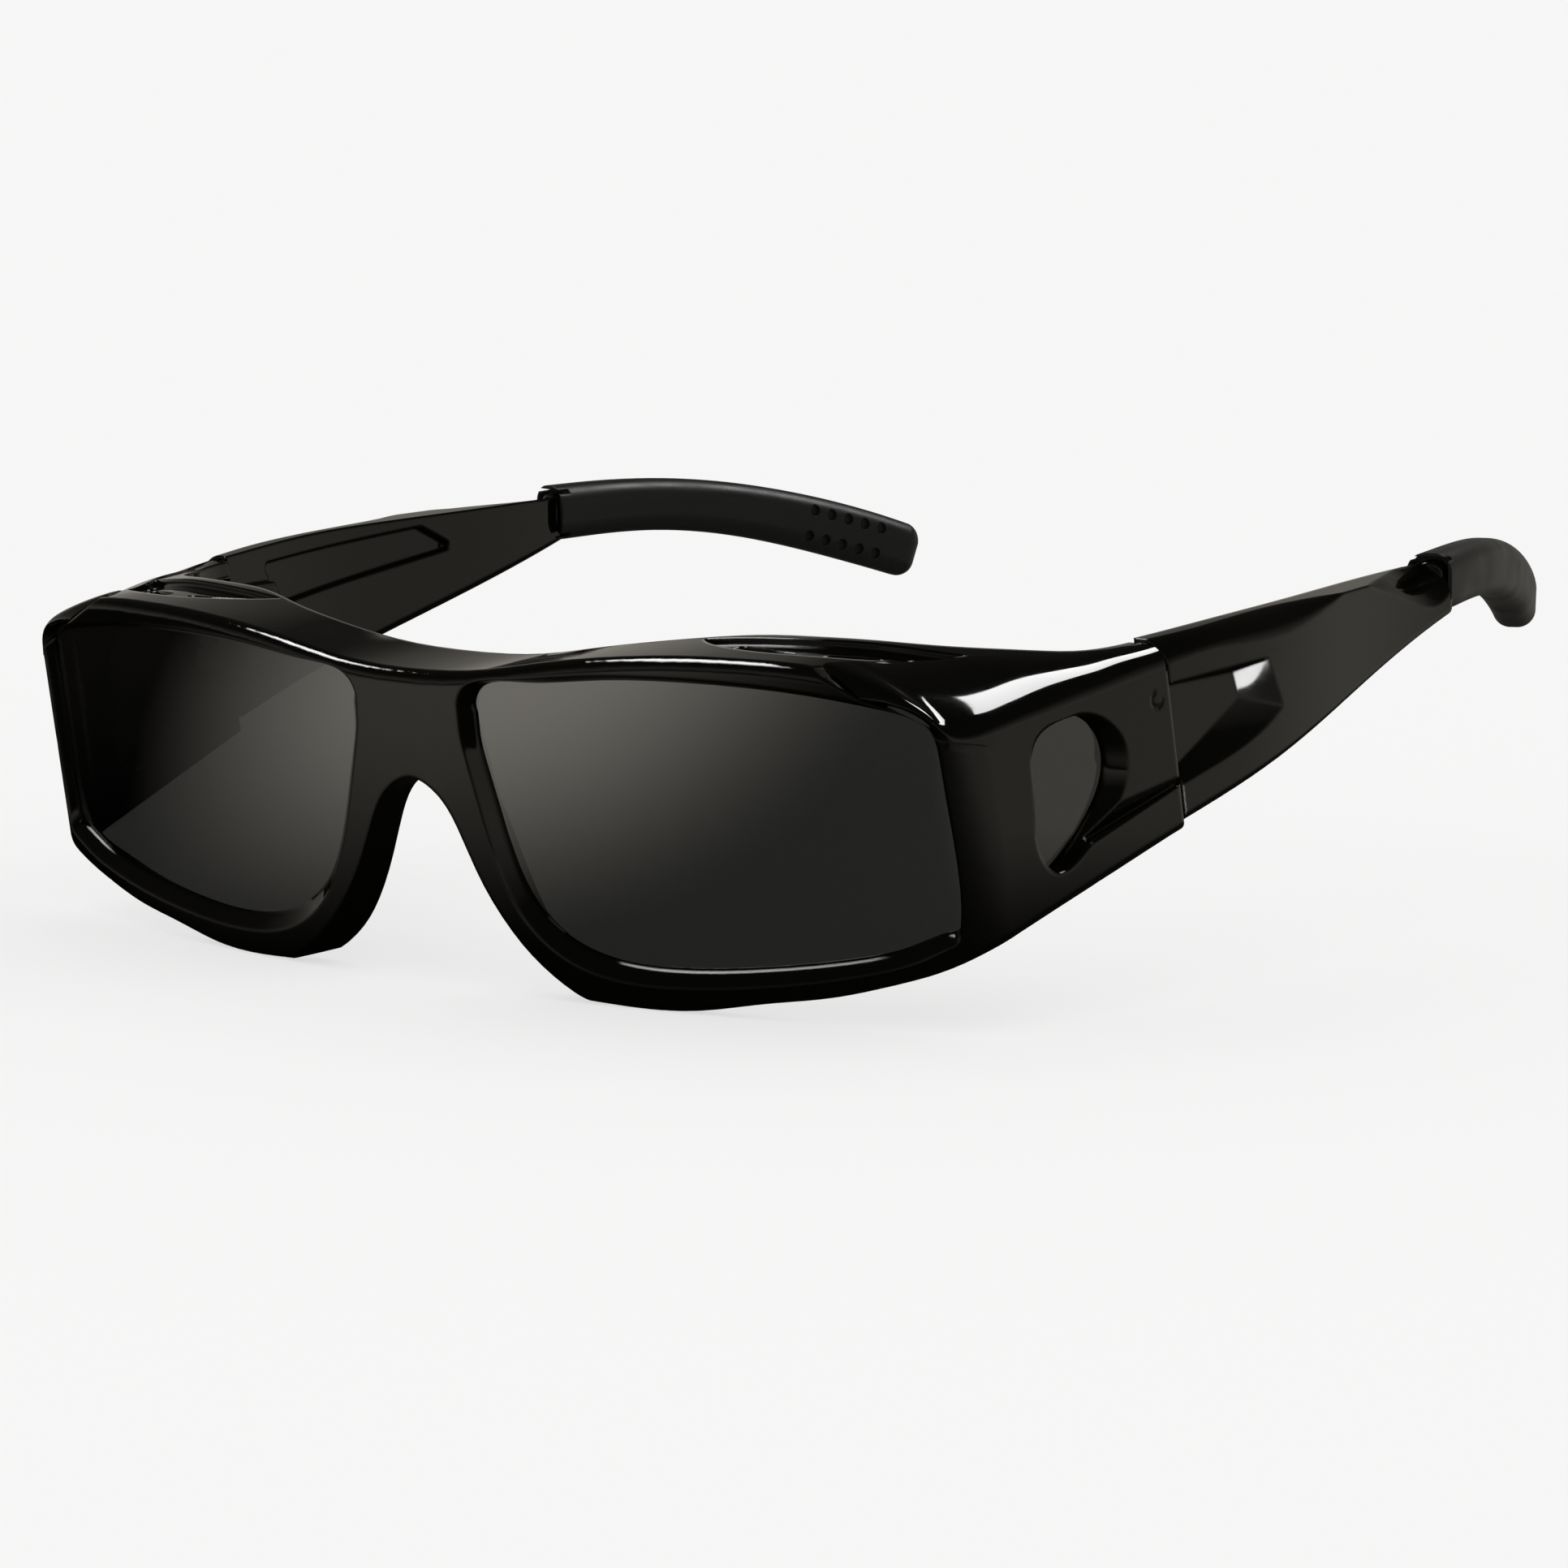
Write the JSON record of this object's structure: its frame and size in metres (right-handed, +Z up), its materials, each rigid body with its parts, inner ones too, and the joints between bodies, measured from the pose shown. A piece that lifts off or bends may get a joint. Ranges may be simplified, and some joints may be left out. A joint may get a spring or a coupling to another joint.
{
  "type": "fitover sunglasses",
  "caption": "Wrap-round sunglasses worn over spectacles: tinted lenses, side windows, vented brow shelf and folding temples with soft tips.",
  "frame": {"origin": "bottom centre of the bounding box, temples open", "axes": "+X to the wearer's left, +Y back along the temples, +Z up"},
  "size_m": [0.1524, 0.1636, 0.0464],
  "materials": {
    "gloss_black": "polished black moulding",
    "lens_tint": "dark grey polarised lens",
    "soft_black": "satin soft rubber",
    "hinge_steel": "plain stainless steel"
  },
  "bodies": {
    "front": {"front_frame": "gloss_black", "lens_left": "lens_tint", "side_lens_left": "lens_tint", "hinge_front_leaf_left": "hinge_steel", "hinge_screw_left": "hinge_steel", "front_leaf_screws_left": "hinge_steel", "lens_right": "lens_tint", "side_lens_right": "lens_tint", "hinge_front_leaf_right": "hinge_steel", "hinge_screw_right": "hinge_steel", "front_leaf_screws_right": "hinge_steel"},
    "temple_left": {"temple_left": "gloss_black", "tip_sleeve_left": "soft_black", "hinge_temple_leaf_left": "hinge_steel", "temple_leaf_screws_left": "hinge_steel"},
    "temple_right": {"temple_right": "gloss_black", "tip_sleeve_right": "soft_black", "hinge_temple_leaf_right": "hinge_steel", "temple_leaf_screws_right": "hinge_steel"}
  },
  "joints": [
    {"name": "fold_left", "type": "hinge", "parent": "front", "child": "temple_left", "pos_m": [0.069, -0.03503, 0.03178], "axis": [0, 0, 1], "range_deg": [0, 90]},
    {"name": "fold_right", "type": "hinge", "parent": "front", "child": "temple_right", "pos_m": [-0.069, -0.03503, 0.03178], "axis": [0, 0, -1], "range_deg": [0, 75]}
  ]
}
